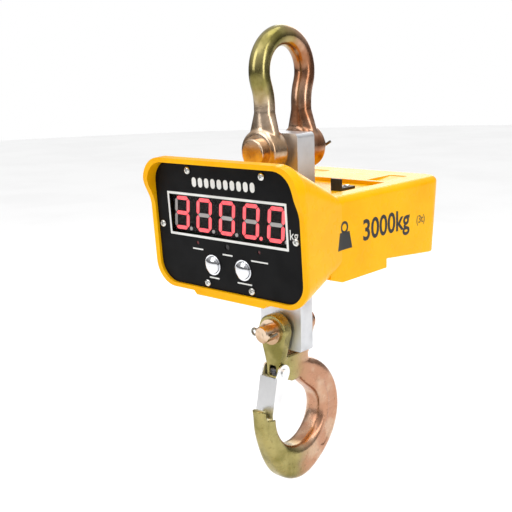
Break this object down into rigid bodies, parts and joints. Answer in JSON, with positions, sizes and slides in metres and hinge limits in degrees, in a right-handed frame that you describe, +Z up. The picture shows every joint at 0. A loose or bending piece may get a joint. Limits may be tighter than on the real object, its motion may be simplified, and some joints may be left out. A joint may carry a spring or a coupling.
{
  "type": "crane scale",
  "caption": "Hanging crane scale: a bow shackle carries a load cell in a yellow metal housing with a red digit display, and a latched lifting hook hangs below.",
  "frame": {"origin": "inside of the shackle's crown, on the load line, where a crane hook bears", "axes": "+Z up along the load line, +X to the right of a person reading the display, the display faces -Y"},
  "size_m": [0.18, 0.2403, 0.4312],
  "materials": {
    "passivated_steel": "yellow chromate over forged steel, satin gloss",
    "zinc_wire": "bright zinc wire",
    "cell_metal": "pale satin plating",
    "zinc_screw": "bright zinc",
    "yellow_paint": "semi-gloss yellow paint over a casting",
    "black_rubber": "matt black rubber",
    "black_steel": "black coated steel",
    "battery_case": "matt dark battery case",
    "foam": "soft closed foam",
    "zinc_sheet": "bright zinc sheet",
    "black_plastic": "matt black plastic",
    "white_plastic": "white plug body",
    "cable_sheath": "smooth black sheath",
    "black_panel": "black anodised plate with white print",
    "display_filter": "clear dark filter",
    "circuit_board": "green solder mask",
    "brass_post": "turned brass",
    "red_lamp": "red lamp, unlit",
    "dark_lens": "dark receiver lens",
    "bright_steel": "bright plated steel",
    "spring_steel": "dark spring wire",
    "digit_block": "black seven-segment block"
  },
  "bodies": {
    "shackle": {"shackle_bow": "passivated_steel", "shackle_pin": "passivated_steel", "shackle_nut": "passivated_steel", "shackle_cotter": "zinc_wire"},
    "scale_body": {"load_cell": "cell_metal", "left_gauge_cover": "cell_metal", "right_gauge_cover": "cell_metal", "gauge_cover_screws": "zinc_screw", "housing_shell": "yellow_paint", "top_collar": "black_rubber", "bottom_collar": "black_rubber", "top_cover": "yellow_paint", "top_cover_screws": "zinc_screw", "tie_bracket": "black_steel", "tie_bracket_screws": "zinc_screw", "left_cell_bracket": "black_steel", "right_cell_bracket": "black_steel", "cell_bracket_bolts": "zinc_screw", "battery_door": "yellow_paint", "battery_door_screws": "zinc_screw", "battery": "battery_case", "battery_pad": "foam", "battery_strap": "zinc_sheet", "battery_strap_screws": "zinc_screw", "charging_socket": "black_plastic", "charge_lead": "cable_sheath", "display_panel": "black_panel", "panel_gasket": "black_rubber", "panel_screws": "zinc_screw", "display_window": "display_filter", "main_board": "circuit_board", "board_standoffs": "brass_post", "board_chips": "black_plastic", "cable_plug": "white_plastic", "loom_plug": "white_plastic", "status_lamps": "red_lamp", "receiver_lens": "dark_lens", "left_button_bezel": "bright_steel", "right_button_bezel": "bright_steel", "button_switches": "black_plastic", "load_cell_cable": "cable_sheath", "battery_loom": "cable_sheath", "digit_1": "digit_block", "digit_2": "digit_block", "digit_3": "digit_block", "digit_4": "digit_block", "digit_5": "digit_block"},
    "left_button": {"left_button": "bright_steel"},
    "right_button": {"right_button": "bright_steel"},
    "hook": {"hook_forging": "passivated_steel", "hook_pin": "passivated_steel", "hook_pin_washers": "passivated_steel", "hook_pin_cotter": "zinc_wire", "latch_rivet": "zinc_sheet"},
    "latch": {"latch_plate": "zinc_sheet", "latch_spring": "spring_steel"}
  },
  "joints": [
    {"name": "shackle_swing", "type": "hinge", "parent": "shackle", "child": "scale_body", "pos_m": [0, 0, -0.0905], "axis": [0, 1, 0], "range_deg": [-90, 90]},
    {"name": "left_button_press", "type": "slide", "parent": "scale_body", "child": "left_button", "axis": [0, 0.9985, 0.055], "range_m": [0, 0.0012], "stiffness_N_per_m": 1500, "springref_m": -0.0006},
    {"name": "right_button_press", "type": "slide", "parent": "scale_body", "child": "right_button", "axis": [0, 0.9985, 0.055], "range_m": [0, 0.0012], "stiffness_N_per_m": 1500, "springref_m": -0.0006},
    {"name": "hook_swing", "type": "hinge", "parent": "scale_body", "child": "hook", "pos_m": [0, 0, -0.2574], "axis": [0, 1, 0], "range_deg": [-25, 25]},
    {"name": "latch_open", "type": "hinge", "parent": "hook", "child": "latch", "pos_m": [0, -0.0197, -0.2974], "axis": [1, 0, 0], "range_deg": [0, 40], "stiffness_Nm_per_rad": 0.15, "springref_deg": -20.05}
  ]
}
